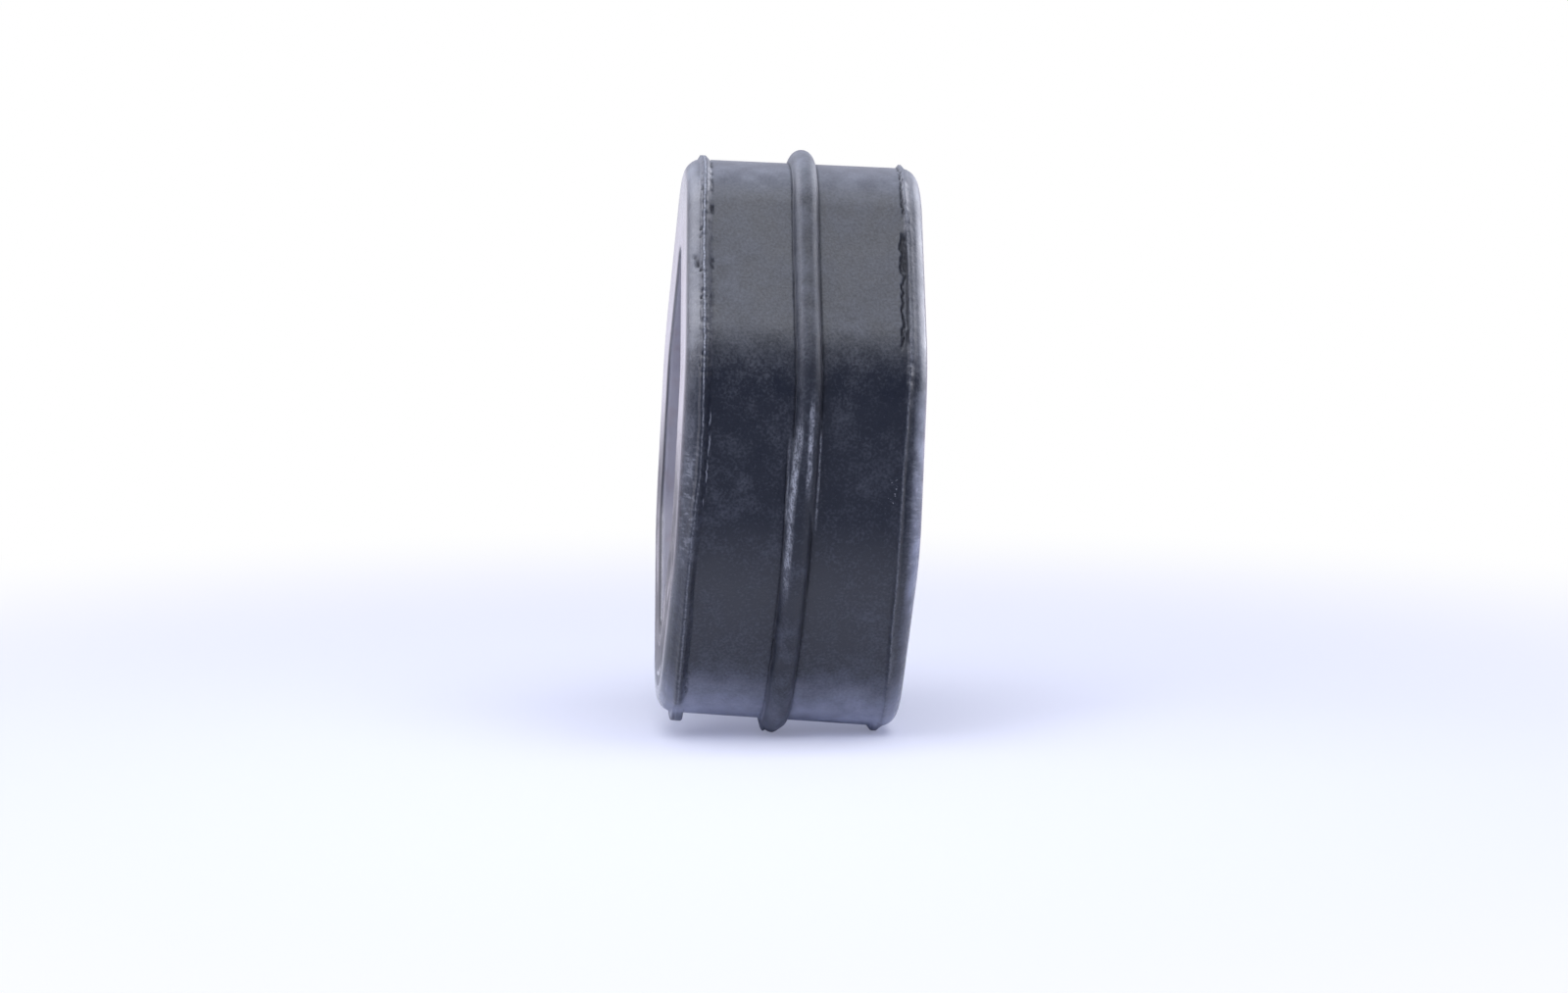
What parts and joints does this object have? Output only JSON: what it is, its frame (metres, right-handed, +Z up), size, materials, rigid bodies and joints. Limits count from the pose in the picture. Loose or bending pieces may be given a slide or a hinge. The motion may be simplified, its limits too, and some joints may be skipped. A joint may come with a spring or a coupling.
{
  "type": "exhaust hanger",
  "caption": "Thick moulded rubber ring, a hexagon stood on end with rounded corners, that hangs an exhaust pipe from a car body by a hook in each end of its opening.",
  "frame": {"origin": "middle of the ring, halfway between its faces and its ends", "axes": "+X through the ring from face to face, +Y along its depth, +Z up its long way, towards the hook of the car body"},
  "size_m": [0.0274, 0.0402, 0.068],
  "materials": {
    "rubber": "moulded black rubber, satin, with pale dust and scuffs"
  },
  "bodies": {
    "root": {"hanger_ring": "rubber"}
  },
  "joints": []
}
